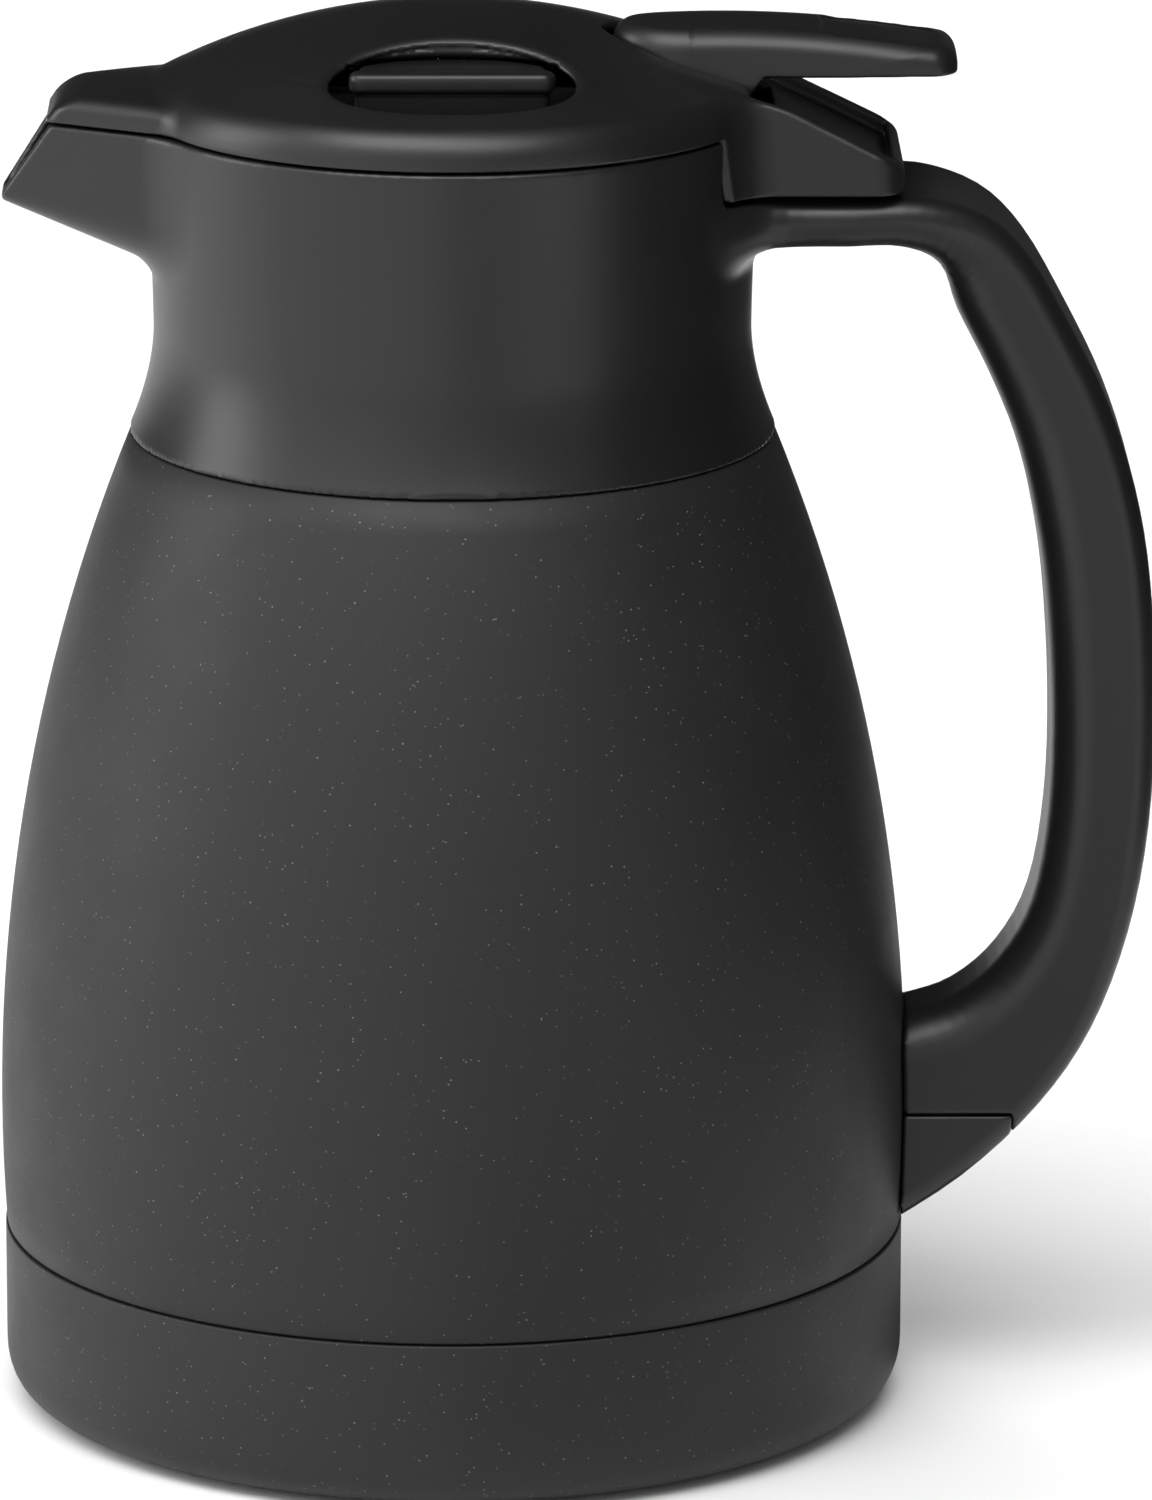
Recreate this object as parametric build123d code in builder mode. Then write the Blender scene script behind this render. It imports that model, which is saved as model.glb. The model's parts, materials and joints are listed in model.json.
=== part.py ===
from build123d import *
import os
from math import cos, radians, sin, sqrt

# Vacuum carafe for coffee: a double-wall steel bottle in a plastic collar with a spout and a
# C-shaped handle, closed by a lid with a pouring lever and two release buttons.
# Millimetres. The origin is the centre of the foot pad's underside, +Z is up the bottle's
# axis, +X points to the handle, -X to the spout. The object is its own mirror image in Y.

os.makedirs("parts", exist_ok=True)

# ---------------------------------------------------------------- driving dimensions
# bottle
WIDEST_RADIUS = 72.1        # largest radius of the painted shell
WIDEST_Z = 47.2             # height of that radius
SIDE_ARC = 290.0            # radius of the long arc of the side
BASE_SEAM_Z = 28.0          # shell meets base cup
COLLAR_SEAM_Z = 156.6       # shell meets collar
STEEL = 0.7                 # sheet thickness of both bottle walls
VACUUM_GAP = 4.2            # space between the two walls
NECK_OUTER = 39.6           # outside radius of the steel neck
NECK_INNER = 35.0           # inside radius of the steel neck
MOUTH_Z = 182.3             # top of the steel mouth
CUP_RADIUS = 71.7           # base cup
CUP_BOTTOM_Z = 0.9
FOOT_PAD_RADIUS = 55.0
FLANGE_Z = 9.0              # lower end of the welded flanges of shell and bottom

# collar and handle
RIM_Z = 207.05              # middle of the seam between collar and lid
SEAM = 0.4                  # width of that seam
RIM_RADIUS = 48.0           # collar and lid skirt at the seam
WAIST_RADIUS = 46.9         # narrowest ring of the collar
WAIST_Z = 175.0
COLLAR_BORE = 44.5
SHELF_Z = 186.4             # top of the collar's inner shelf
NOTCH_HALF = 23.2           # half width of the rear notch in the collar
ARM_TOP_Z = 196.4
ARM_UNDER_Z = 188.6
ARM_HALF = 18.0             # half width of the arm at the collar
GRIP_HALF = 12.9            # half width of the grip
FOOT_HALF = 11.6            # half width of the handle's lower end
COVER_TOP_Z = 47.2          # seam between handle and bracket cover
COVER_REACH = 88.8          # X of the cover's outer seam

# Stations down the handle: outer point, inner point (X, Z) and half width.
HANDLE_STATIONS = [
    ((41.5, ARM_TOP_Z), (41.5, ARM_UNDER_Z), NOTCH_HALF - 1.0),
    ((52.0, ARM_TOP_Z), (52.0, ARM_UNDER_Z), ARM_HALF + 0.4),
    ((62.0, ARM_TOP_Z), (61.0, ARM_UNDER_Z), ARM_HALF),
    ((73.0, 196.4), (69.6, 188.4), ARM_HALF - 0.8),
    ((82.8, 193.3), (75.9, 185.2), ARM_HALF - 2.6),
    ((89.9, 186.5), (78.8, 177.4), GRIP_HALF + 1.4),
    ((96.8, 174.6), (83.6, 167.8), GRIP_HALF + 0.5),
    ((102.6, 162.6), (88.0, 157.2), GRIP_HALF),
    ((107.0, 149.0), (91.0, 145.6), GRIP_HALF),
    ((109.6, 134.0), (93.2, 132.0), GRIP_HALF),
    ((110.7, 114.0), (94.4, 113.0), GRIP_HALF),
    ((109.9, 94.0), (94.0, 95.5), GRIP_HALF - 0.1),
    ((106.9, 76.6), (91.6, 81.0), GRIP_HALF - 0.4),
    ((101.3, 60.8), (86.6, 71.4), GRIP_HALF - 0.8),
    ((93.0, 48.0), (79.6, 65.2), FOOT_HALF + 0.2),
    ((81.0, 36.2), (71.5, 62.4), FOOT_HALF),
    ((66.0, 26.2), (62.0, 60.6), FOOT_HALF),
]
HANDLE_BACK_ROUND = 3.0     # rounding of the two outer edges
HANDLE_GRIP_ROUND = 4.0     # rounding of the two inner edges at the arm, and
GRIP_ROUND_GAIN = 2.6       # how much larger it is on the grip

# spout
SPOUT_ROOT_X = -38.0
SPOUT_TIP_X = -70.4
SPOUT_ROOT_HALF = 23.0      # half width at the root
SPOUT_TIP_HALF = 4.6        # half width at the tip
SPOUT_WALL = 2.2
SPOUT_ROOT_UNDER_Z = 182.0  # underside at the root
SPOUT_TIP_UNDER_Z = 193.7   # underside at the tip
SPOUT_SLOPE_TOP = (-62.4, RIM_Z)    # upper and lower end of the sloping mouth
SPOUT_SLOPE_END = (-70.2, 195.4)

# lid
APEX_Z = 223.8
DOME_RADIUS = 101.7
DOME_EDGE = 45.4            # radius where dome turns into skirt
LID_WALL = 1.6
LID_BOTTOM_Z = RIM_Z + SEAM / 2
FLAP_TIP_X = -63.6
SCREW_POINTS = [(-29.0, 23.5), (-29.0, -23.5), (28.6, 24.8), (28.6, -24.8)]
BLOCK_HALF = 18.0           # half width of the block over the arm
BLOCK_END_X = 70.2
BLOCK_BOTTOM_Z = 197.4
BLOCK_SLOPE_START = (49.5, 212.2)
BLOCK_SLOPE_END = (69.0, 202.5)

# pouring lever
PIVOT_X = 38.0
PIVOT_Z = 209.8
PIN_RADIUS = 1.5
PIN_CLEARANCE = 0.05
LEVER_HALF = 10.8
LEVER_NOSE_X = 24.0
LEVER_TIP_X = 78.6
LEVER_GAP = 0.7             # clear space round the lever in its slot

# release buttons
POCKET_Y = 30.0             # centre of the finger pocket
POCKET_HALF_X = 20.0
POCKET_HALF_Y = 11.5
BUTTON_FACE_Y = 28.7        # front edge of the bar under the fingertip
BUTTON_TOP_Z = 218.8
BUTTON_BAR = 2.9            # thickness of that bar
BUTTON_HALF_X = 16.0
PAWL_Z = 205.6

# valve
STEM_RADIUS = 3.2
VALVE_RADIUS = 18.5
SEAT_RADIUS = 15.0
PLUG_RADIUS = 34.0
PLUG_BOTTOM_Z = 160.0
DECK_TOP_Z = 203.0


def side_radius(z, inset=0.0):
    """Radius of the bottle's side at height z, for a wall set in from the outside."""
    centre = WIDEST_RADIUS - SIDE_ARC
    return centre + sqrt((SIDE_ARC - inset) ** 2 - (z - WIDEST_Z) ** 2)


def side_point(z, inset=0.0):
    return (side_radius(z, inset), z)


def dome_z(radius, inset=0.0):
    """Height of the lid's dome at a distance from the axis."""
    return APEX_Z - DOME_RADIUS + sqrt((DOME_RADIUS - inset) ** 2 - radius**2)


def spout_half(x):
    """Half width of the spout, straight from root to tip."""
    share = (x - SPOUT_ROOT_X) / (SPOUT_TIP_X - SPOUT_ROOT_X)
    return SPOUT_ROOT_HALF + share * (SPOUT_TIP_HALF - SPOUT_ROOT_HALF)


def keep(part, name):
    """Label a finished piece and write its STEP file."""
    part.label = name
    export_step(part, f"parts/{name}.step")


# ---------------------------------------------------------------- bottle
with BuildPart() as outer_shell:
    with BuildSketch(Plane.XZ):
        with BuildLine():
            shoulder = (side_radius(COLLAR_SEAM_Z) - 2.0, COLLAR_SEAM_Z + 0.2)
            middle_z = (BASE_SEAM_Z + COLLAR_SEAM_Z) / 2
            step_radius = CUP_RADIUS - 1.9
            side = ThreePointArc(
                side_point(BASE_SEAM_Z + 0.2),
                side_point(middle_z),
                side_point(COLLAR_SEAM_Z),
            )
            Polyline(
                side @ 1,
                shoulder,
                (NECK_OUTER, 165.5),
                (NECK_OUTER, MOUTH_Z - STEEL),
                (NECK_OUTER - STEEL, MOUTH_Z - STEEL),
                (NECK_OUTER - STEEL, 165.2),
                (shoulder[0] - STEEL, shoulder[1] - STEEL),
                side_point(COLLAR_SEAM_Z - STEEL, STEEL),
            )
            ThreePointArc(
                side_point(COLLAR_SEAM_Z - STEEL, STEEL),
                side_point(middle_z, STEEL),
                side_point(BASE_SEAM_Z + 0.9, STEEL),
            )
            Polyline(
                side_point(BASE_SEAM_Z + 0.9, STEEL),
                (step_radius - STEEL, BASE_SEAM_Z + 0.7),
                (step_radius - STEEL, FLANGE_Z),
                (step_radius, FLANGE_Z),
                (step_radius, BASE_SEAM_Z + 0.1),
                side @ 0,
            )
        make_face()
    revolve(axis=Axis.Z)
keep(outer_shell.part, "outer_shell")

with BuildPart() as shell_bottom:
    with BuildSketch(Plane.XZ):
        plate_radius = CUP_RADIUS - 1.9 - STEEL
        with BuildLine():
            Polyline(
                (0, 9.7),
                (10.7, 9.7),
                (10.7, 12.2),
                (plate_radius - STEEL, 12.2),
                (plate_radius - STEEL, FLANGE_Z),
                (plate_radius, FLANGE_Z),
                (plate_radius, 12.9),
                (10.0, 12.9),
                (10.0, 10.4),
                (0, 10.4),
                close=True,
            )
        make_face()
    revolve(axis=Axis.Z)
    with BuildSketch(Plane.XY.offset(9.7)):
        Circle(1.2)
    extrude(amount=0.7, mode=Mode.SUBTRACT)
keep(shell_bottom.part, "shell_bottom")

with BuildPart() as vacuum_seal:
    with BuildSketch(Plane.XY.offset(8.7)):
        Circle(4.5)
    extrude(amount=1.0)
    with BuildSketch(Plane.XY.offset(9.7)):
        Circle(1.2)
    extrude(amount=0.7)
    fillet(vacuum_seal.edges().group_by(Axis.Z)[0], 0.6)
keep(vacuum_seal.part, "vacuum_seal")

with BuildPart() as getter:
    with BuildSketch(Plane.XY.offset(12.9)):
        with Locations((28, 0)):
            Circle(4.0)
    extrude(amount=2.2)
    fillet(getter.edges().group_by(Axis.Z)[-1], 0.8)
keep(getter.part, "getter")

inner_inset = STEEL + VACUUM_GAP
with BuildPart() as inner_vessel:
    with BuildSketch(Plane.XZ):
        with BuildLine():
            low_z = 31.0
            high_z = 150.0
            middle_z = (low_z + high_z) / 2
            low_out = side_point(low_z, inner_inset)
            high_out = side_point(high_z, inner_inset)
            low_in = side_point(low_z, inner_inset + STEEL)
            high_in = side_point(high_z, inner_inset + STEEL)
            Line((0, 17.3), (low_out[0] - 14.0, 17.3))
            RadiusArc((low_out[0] - 14.0, 17.3), low_out, -14.0)
            ThreePointArc(low_out, side_point(middle_z, inner_inset), high_out)
            Polyline(
                high_out,
                (NECK_INNER + STEEL, 163.5),
                (NECK_INNER + STEEL, MOUTH_Z - STEEL),
                (NECK_OUTER + 0.3, MOUTH_Z - STEEL),
                (NECK_OUTER + 0.3, MOUTH_Z),
                (NECK_INNER, MOUTH_Z),
                (NECK_INNER, 163.1),
                high_in,
            )
            ThreePointArc(high_in, side_point(middle_z, inner_inset + STEEL), low_in)
            RadiusArc(low_in, (low_in[0] - 13.3, 17.3 + STEEL), 13.3)
            Line((low_in[0] - 13.3, 17.3 + STEEL), (0, 17.3 + STEEL))
            Line((0, 17.3 + STEEL), (0, 17.3))
        make_face()
    revolve(axis=Axis.Z)
keep(inner_vessel.part, "inner_vessel")

with BuildPart() as radiation_foil:
    foil_inset = inner_inset - 0.5
    with BuildSketch(Plane.XZ):
        with BuildLine():
            middle_z = 90.0
            ThreePointArc(
                side_point(36.0, foil_inset),
                side_point(middle_z, foil_inset),
                side_point(144.0, foil_inset),
            )
            Line(side_point(144.0, foil_inset), side_point(144.0, foil_inset + 0.2))
            ThreePointArc(
                side_point(144.0, foil_inset + 0.2),
                side_point(middle_z, foil_inset + 0.2),
                side_point(36.0, foil_inset + 0.2),
            )
            Line(side_point(36.0, foil_inset + 0.2), side_point(36.0, foil_inset))
        make_face()
    revolve(axis=Axis.Z)
keep(radiation_foil.part, "radiation_foil")

with BuildPart() as base_cup:
    with BuildSketch(Plane.XZ):
        with BuildLine():
            wall = 1.6
            Polyline(
                (CUP_RADIUS, 10.5),
                (CUP_RADIUS, BASE_SEAM_Z - 0.1),
                (CUP_RADIUS - wall, BASE_SEAM_Z - 0.1),
                (CUP_RADIUS - wall, 8.0),
                (CUP_RADIUS - 7.0, 3.1),
                (0, 3.1),
                (0, CUP_BOTTOM_Z + 0.7),
                (FOOT_PAD_RADIUS + 0.2, CUP_BOTTOM_Z + 0.7),
                (FOOT_PAD_RADIUS + 0.2, CUP_BOTTOM_Z),
                (CUP_RADIUS - 8.0, CUP_BOTTOM_Z),
            )
            ThreePointArc(
                (CUP_RADIUS - 8.0, CUP_BOTTOM_Z),
                (CUP_RADIUS - 8.0 * (1 - sin(radians(45))), 10.5 - 9.6 * sin(radians(45))),
                (CUP_RADIUS, 10.5),
            )
        make_face()
    revolve(axis=Axis.Z)
keep(base_cup.part, "base_cup")

with BuildPart() as foot_pad:
    with BuildSketch(Plane.XY):
        Circle(FOOT_PAD_RADIUS)
    extrude(amount=CUP_BOTTOM_Z + 0.7)
    fillet(foot_pad.edges().group_by(Axis.Z)[0], 0.4)
keep(foot_pad.part, "foot_pad")

# ---------------------------------------------------------------- collar and handle
def spout_section(x, inset, top_z):
    """Cross-section of the spout at x: straight flanks and a rounded keel."""
    share = (x - SPOUT_ROOT_X) / (SPOUT_TIP_X - SPOUT_ROOT_X)
    half = spout_half(x) - inset
    keel_half = half * (0.72 - 0.14 * share)
    under = SPOUT_ROOT_UNDER_Z + share * (SPOUT_TIP_UNDER_Z - SPOUT_ROOT_UNDER_Z) + inset
    corner = min(4.0, keel_half * 0.7)
    with BuildSketch(Plane.YZ.offset(x)) as section:
        with BuildLine():
            Polyline(
                (half, top_z),
                (half - 0.4, under + corner * 1.6),
                (keel_half, under),
                (-keel_half, under),
                (-half + 0.4, under + corner * 1.6),
                (-half, top_z),
                close=True,
            )
        make_face()
        fillet(section.vertices().group_by(Axis.Y)[0], corner)
    return section.sketch


with BuildPart() as spout:
    root_section = spout_section(SPOUT_ROOT_X, 0.0, RIM_Z - SEAM / 2)
    tip_section = spout_section(SPOUT_TIP_X, 0.0, RIM_Z - SEAM / 2)
    loft([root_section, tip_section])
    with BuildSketch(Plane.XZ):
        with BuildLine():
            Polyline(
                (SPOUT_SLOPE_TOP[0], RIM_Z + 5),
                SPOUT_SLOPE_TOP,
                SPOUT_SLOPE_END,
                (SPOUT_TIP_X - 5, 195.4),
                (SPOUT_TIP_X - 5, RIM_Z + 5),
                close=True,
            )
        make_face()
    extrude(amount=30, both=True, mode=Mode.SUBTRACT)

with BuildPart() as spout_channel:
    root_section = spout_section(SPOUT_ROOT_X + 3.0, SPOUT_WALL, RIM_Z + 6)
    tip_section = spout_section(SPOUT_TIP_X - 3.0, SPOUT_WALL, RIM_Z + 6)
    loft([root_section, tip_section])
    with BuildSketch(Plane.XY.offset(SHELF_Z - 40)):
        Circle(60)
    extrude(amount=40, mode=Mode.SUBTRACT)


def handle_section(outer, inner, half, grip_round):
    """Rounded cross-section of the handle between an outer and an inner point."""
    across = Vector(outer[0] - inner[0], 0, outer[1] - inner[1])
    origin = Vector(inner[0], 0, inner[1])
    along = Vector(0, 1, 0)
    plane = Plane(origin=origin, x_dir=across, z_dir=across.cross(along))
    depth = across.length
    with BuildSketch(plane) as section:
        with Locations((depth / 2, 0)):
            Rectangle(depth, 2 * half)
        fillet(section.vertices().group_by(Axis.X)[-1], HANDLE_BACK_ROUND)
        fillet(section.vertices().group_by(Axis.X)[0], grip_round)
    return section.sketch


with BuildPart() as handle:
    sections = []
    for number, (outer, inner, half) in enumerate(HANDLE_STATIONS):
        gain = GRIP_ROUND_GAIN * min(1.0, max(0, number - 2) / 4)
        sections.append(handle_section(outer, inner, half, HANDLE_GRIP_ROUND + gain))
    loft(sections)

with BuildPart() as collar_handle:
    with BuildSketch(Plane.XZ):
        with BuildLine():
            Polyline(
                (0, COLLAR_SEAM_Z + 0.3),
                (0, RIM_Z - SEAM / 2),
                (RIM_RADIUS, RIM_Z - SEAM / 2),
                (WAIST_RADIUS, WAIST_Z),
            )
            Spline(
                (WAIST_RADIUS, WAIST_Z),
                (47.5, 167.6),
                (49.0, 161.9),
                (side_radius(COLLAR_SEAM_Z) - 0.1, COLLAR_SEAM_Z + 0.3),
                tangents=((0.02, -1), (0.42, -1)),
            )
            Line(
                (side_radius(COLLAR_SEAM_Z) - 0.1, COLLAR_SEAM_Z + 0.3),
                (0, COLLAR_SEAM_Z + 0.3),
            )
        make_face()
    revolve(axis=Axis.Z)
    add(spout.part)
    spout_corners = [
        e
        for e in collar_handle.edges()
        if -48 < e.center().X < -38 and abs(e.center().Y) > 15 and 185 < e.center().Z < 204
    ]
    fillet(spout_corners, 6.0)
    add(handle.part)
    # everything above the shelf inside the bore, and the wide skirt below it
    with BuildSketch(Plane.XZ):
        with BuildLine():
            Polyline(
                (0, COLLAR_SEAM_Z - 1),
                (49.3, COLLAR_SEAM_Z - 1),
                (49.3, COLLAR_SEAM_Z + 0.3),
                (45.4, 165.0),
                (44.2, 168.0),
                (44.2, SHELF_Z - 2.5),
                (36.4, SHELF_Z - 2.5),
                (36.4, SHELF_Z),
                (COLLAR_BORE, SHELF_Z),
                (COLLAR_BORE, RIM_Z + 1),
                (0, RIM_Z + 1),
                close=True,
            )
        make_face()
    revolve(axis=Axis.Z, mode=Mode.SUBTRACT)
    # the channel of the spout, and the notch that the lid's block fills
    add(spout_channel.part, mode=Mode.SUBTRACT)
    with BuildSketch(Plane.XY.offset(ARM_TOP_Z)):
        with Locations((57, 0)):
            Rectangle(46, 2 * NOTCH_HALF)
    extrude(amount=20, mode=Mode.SUBTRACT)
    # keeper groove for the two latch pawls
    with BuildSketch(Plane.XY.offset(PAWL_Z - 1.6)):
        with Locations((0, -COLLAR_BORE), (0, COLLAR_BORE)):
            Rectangle(18, 2.2)
    extrude(amount=4.0, mode=Mode.SUBTRACT)
    # the handle's lower end stands just off the shell and over the bracket cover
    with BuildSketch(Plane.XZ):
        with BuildLine():
            gap = 0.25
            low_z = 20.0
            high_z = 80.0
            middle_z = (low_z + high_z) / 2
            ThreePointArc(
                side_point(low_z, -gap), side_point(middle_z, -gap), side_point(high_z, -gap)
            )
            Polyline(side_point(high_z, -gap), (0, high_z), (0, low_z), side_point(low_z, -gap))
        make_face()
    revolve(axis=Axis.Z, mode=Mode.SUBTRACT)
    with BuildSketch(Plane.XZ.offset(-30)):
        with Locations(((COVER_REACH + 60) / 2, COVER_TOP_Z - 20)):
            Rectangle(COVER_REACH - 60, 40)
    extrude(amount=60, mode=Mode.SUBTRACT)
    with Locations((79.0, 0, COVER_TOP_Z)):
        Cylinder(1.5, 24, mode=Mode.SUBTRACT)
keep(collar_handle.part, "collar_handle")

with BuildPart() as collar_gasket:
    with BuildSketch(Plane.XY.offset(MOUTH_Z)):
        Circle(NECK_OUTER)
        Circle(36.4, mode=Mode.SUBTRACT)
    extrude(amount=SHELF_Z - 2.5 - MOUTH_Z)
keep(collar_gasket.part, "collar_gasket")

with BuildPart() as neck_ring:
    with BuildSketch(Plane.XZ):
        with BuildLine():
            Polyline(
                (NECK_OUTER + 0.05, 167.0),
                (44.0, 168.2),
                (44.0, 178.0),
                (42.6, 179.4),
                (NECK_OUTER + 0.05, 179.4),
                close=True,
            )
        make_face()
    revolve(axis=Axis.Z)
    # gripping slots round the ring
    with BuildSketch(Plane.XY.offset(160)):
        with PolarLocations(44.4, 12):
            Rectangle(2.4, 5.0)
    extrude(amount=12, mode=Mode.SUBTRACT)
keep(neck_ring.part, "neck_ring")

with BuildPart() as handle_bracket:
    with BuildSketch(Plane.XZ.offset(-7)):
        with BuildLine():
            Polyline(
                (72.2, 36.5),
                (73.6, 36.5),
                (73.6, COVER_TOP_Z - 1.5),
                (84.0, COVER_TOP_Z - 1.5),
                (84.0, COVER_TOP_Z - 0.1),
                (72.2, COVER_TOP_Z - 0.1),
                close=True,
            )
        make_face()
    extrude(amount=14)
    bend = handle_bracket.edges().filter_by(Axis.Y).sort_by_distance((73.6, 0, COVER_TOP_Z - 1.5))
    fillet(bend[0], 1.5)
    fillet(handle_bracket.edges().filter_by(Axis.Z).group_by(Axis.X)[-1], 3.0)
    with Locations((79.0, 0, COVER_TOP_Z)):
        Cylinder(1.9, 10, mode=Mode.SUBTRACT)
keep(handle_bracket.part, "handle_bracket")

with BuildPart() as handle_screw:
    with BuildSketch(Plane.XY.offset(COVER_TOP_Z - 3.6)):
        with Locations((79.0, 0)):
            Circle(3.4)
    extrude(amount=2.1)
    with BuildSketch(Plane.XY.offset(COVER_TOP_Z - 1.5)):
        with Locations((79.0, 0)):
            Circle(1.5)
    extrude(amount=12.5)
    fillet(handle_screw.edges().group_by(Axis.Z)[0], 0.8)
    with BuildSketch(Plane.XY.offset(COVER_TOP_Z - 3.6)):
        with Locations((79.0, 0)):
            Rectangle(3.6, 0.9)
            Rectangle(0.9, 3.6)
    extrude(amount=1.2, mode=Mode.SUBTRACT)
keep(handle_screw.part, "handle_screw")

with BuildPart() as bracket_cover:
    add(handle.part)
    with BuildSketch(Plane.XZ.offset(-30)):
        with Locations(((COVER_REACH - SEAM + 60) / 2, COVER_TOP_Z - SEAM - 20)):
            Rectangle(COVER_REACH - SEAM - 60, 40)
    extrude(amount=60, mode=Mode.INTERSECT)
    with BuildSketch(Plane.XZ):
        with BuildLine():
            gap = 0.25
            low_z = 20.0
            high_z = 80.0
            middle_z = (low_z + high_z) / 2
            ThreePointArc(
                side_point(low_z, -gap), side_point(middle_z, -gap), side_point(high_z, -gap)
            )
            Polyline(side_point(high_z, -gap), (0, high_z), (0, low_z), side_point(low_z, -gap))
        make_face()
    revolve(axis=Axis.Z, mode=Mode.SUBTRACT)
    # room for the bracket and the screw head
    with BuildSketch(Plane.XZ.offset(-9)):
        with BuildLine():
            Polyline(
                (70.0, 35.0), (76.0, 36.2), (85.2, 43.0), (85.2, 48.0), (70.0, 48.0), close=True
            )
        make_face()
    extrude(amount=18, mode=Mode.SUBTRACT)
keep(bracket_cover.part, "bracket_cover")

# ---------------------------------------------------------------- lid
with BuildPart() as flap:
    with BuildSketch(Plane.XZ.offset(-30)):
        with BuildLine():
            Polyline((-30.0, LID_BOTTOM_Z), (FLAP_TIP_X, LID_BOTTOM_Z))
            Spline(
                (FLAP_TIP_X, LID_BOTTOM_Z),
                (-60.6, 210.6),
                (-57.4, 211.7),
                (-48.0, 212.5),
                (-42.0, 214.6),
                (-30.0, 218.8),
                tangents=((0.45, 1.0), (1.0, 0.3)),
            )
            Line((-30.0, 218.8), (-30.0, LID_BOTTOM_Z))
        make_face()
    extrude(amount=60)
    with BuildSketch(Plane.XY.offset(200)):
        with BuildLine():
            flap_tip_half = spout_half(FLAP_TIP_X)
            Polyline(
                (-30.0, spout_half(-30.0)),
                (FLAP_TIP_X, flap_tip_half),
                (FLAP_TIP_X, -flap_tip_half),
                (-30.0, -spout_half(-30.0)),
                close=True,
            )
        make_face()
    extrude(amount=30, mode=Mode.INTERSECT)
    # the flanks lean in, so that the flap runs into the dome without an edge
    with BuildSketch(Plane.YZ):
        with BuildLine():
            Polyline(
                (24.0, LID_BOTTOM_Z),
                (24.0, 208.6),
                (15.0, 212.0),
                (8.0, 219.5),
                (-8.0, 219.5),
                (-15.0, 212.0),
                (-24.0, 208.6),
                (-24.0, LID_BOTTOM_Z),
                close=True,
            )
        make_face()
    extrude(amount=-80, mode=Mode.INTERSECT)

with BuildPart() as block:
    with BuildSketch(Plane.XZ.offset(-30)):
        with BuildLine():
            Polyline(
                (34.0, BLOCK_BOTTOM_Z),
                (BLOCK_END_X, BLOCK_BOTTOM_Z),
                (BLOCK_SLOPE_END[0] + 0.6, 201.2),
                BLOCK_SLOPE_END,
                BLOCK_SLOPE_START,
                (44.0, dome_z(44.0) + 0.6),
                (34.0, dome_z(34.0) - 0.6),
                close=True,
            )
        make_face()
    extrude(amount=60)
    # plan: a hollow curve on each side leads from the round skirt to the straight block
    with BuildSketch(Plane.XY.offset(190)):
        with BuildLine():
            flare = ThreePointArc(
                (41.8, NOTCH_HALF - SEAM), (44.2, BLOCK_HALF + 1.4), (50.0, BLOCK_HALF)
            )
            Line(flare @ 1, (BLOCK_END_X, BLOCK_HALF))
            Line((BLOCK_END_X, BLOCK_HALF), (BLOCK_END_X, 0))
            Line(flare @ 0, (34.0, NOTCH_HALF - SEAM))
            Line((34.0, NOTCH_HALF - SEAM), (34.0, 0))
            Line((34.0, 0), (BLOCK_END_X, 0))
        make_face()
        mirror(about=Plane.XZ)
    extrude(amount=40, mode=Mode.INTERSECT)

with BuildPart() as dome_body:
    with BuildSketch(Plane.XZ):
        with BuildLine():
            edge_z = dome_z(DOME_EDGE)
            Line((0, LID_BOTTOM_Z), (0, APEX_Z))
            ThreePointArc((0, APEX_Z), (25.0, dome_z(25.0)), (DOME_EDGE, edge_z))
            ThreePointArc(
                (DOME_EDGE, edge_z), (DOME_EDGE + 1.4, edge_z - 0.9), (DOME_EDGE + 2.0, edge_z - 2.3)
            )
            Polyline(
                (DOME_EDGE + 2.0, edge_z - 2.3), (RIM_RADIUS, LID_BOTTOM_Z), (0, LID_BOTTOM_Z)
            )
        make_face()
    revolve(axis=Axis.Z)


def under_dome(margin):
    """Keep only what lies under the dome's surface, by a margin."""
    with Locations((0, 0, APEX_Z - DOME_RADIUS)):
        Sphere(DOME_RADIUS - margin, mode=Mode.INTERSECT)


def lever_plan(margin):
    """Outline of the lever seen from above: round nose, straight flanks, blunt thumb end."""
    half = LEVER_HALF + margin
    with BuildSketch() as plan:
        with Locations((37.0, 0)):
            Ellipse(37.0 - LEVER_NOSE_X + margin, half)
        with BuildLine():
            Polyline(
                (37.0, half),
                (58.0, half),
                (LEVER_TIP_X - 2.0, half - 1.0),
                (LEVER_TIP_X, half - 3.2),
                (LEVER_TIP_X, 3.2 - half),
                (LEVER_TIP_X - 2.0, 1.0 - half),
                (58.0, -half),
                (37.0, -half),
                close=True,
            )
        make_face()
    return plan.sketch


# walls of the two finger pockets, on the side away from the buttons
with BuildPart() as pocket_walls:
    with BuildSketch(Plane.XY.offset(208.3)):
        with Locations((0, -POCKET_Y), (0, POCKET_Y)):
            Ellipse(POCKET_HALF_X + 1.4, POCKET_HALF_Y + 1.4)
    extrude(amount=14)
    with BuildSketch(Plane.XY.offset(209.8)):
        with Locations((0, -POCKET_Y), (0, POCKET_Y)):
            Ellipse(POCKET_HALF_X, POCKET_HALF_Y)
    extrude(amount=14, mode=Mode.SUBTRACT)
    with BuildSketch(Plane.XY.offset(200)):
        Rectangle(60, 2 * (BUTTON_FACE_Y + 0.9))
    extrude(amount=30, mode=Mode.SUBTRACT)
    under_dome(0.6)

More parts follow.
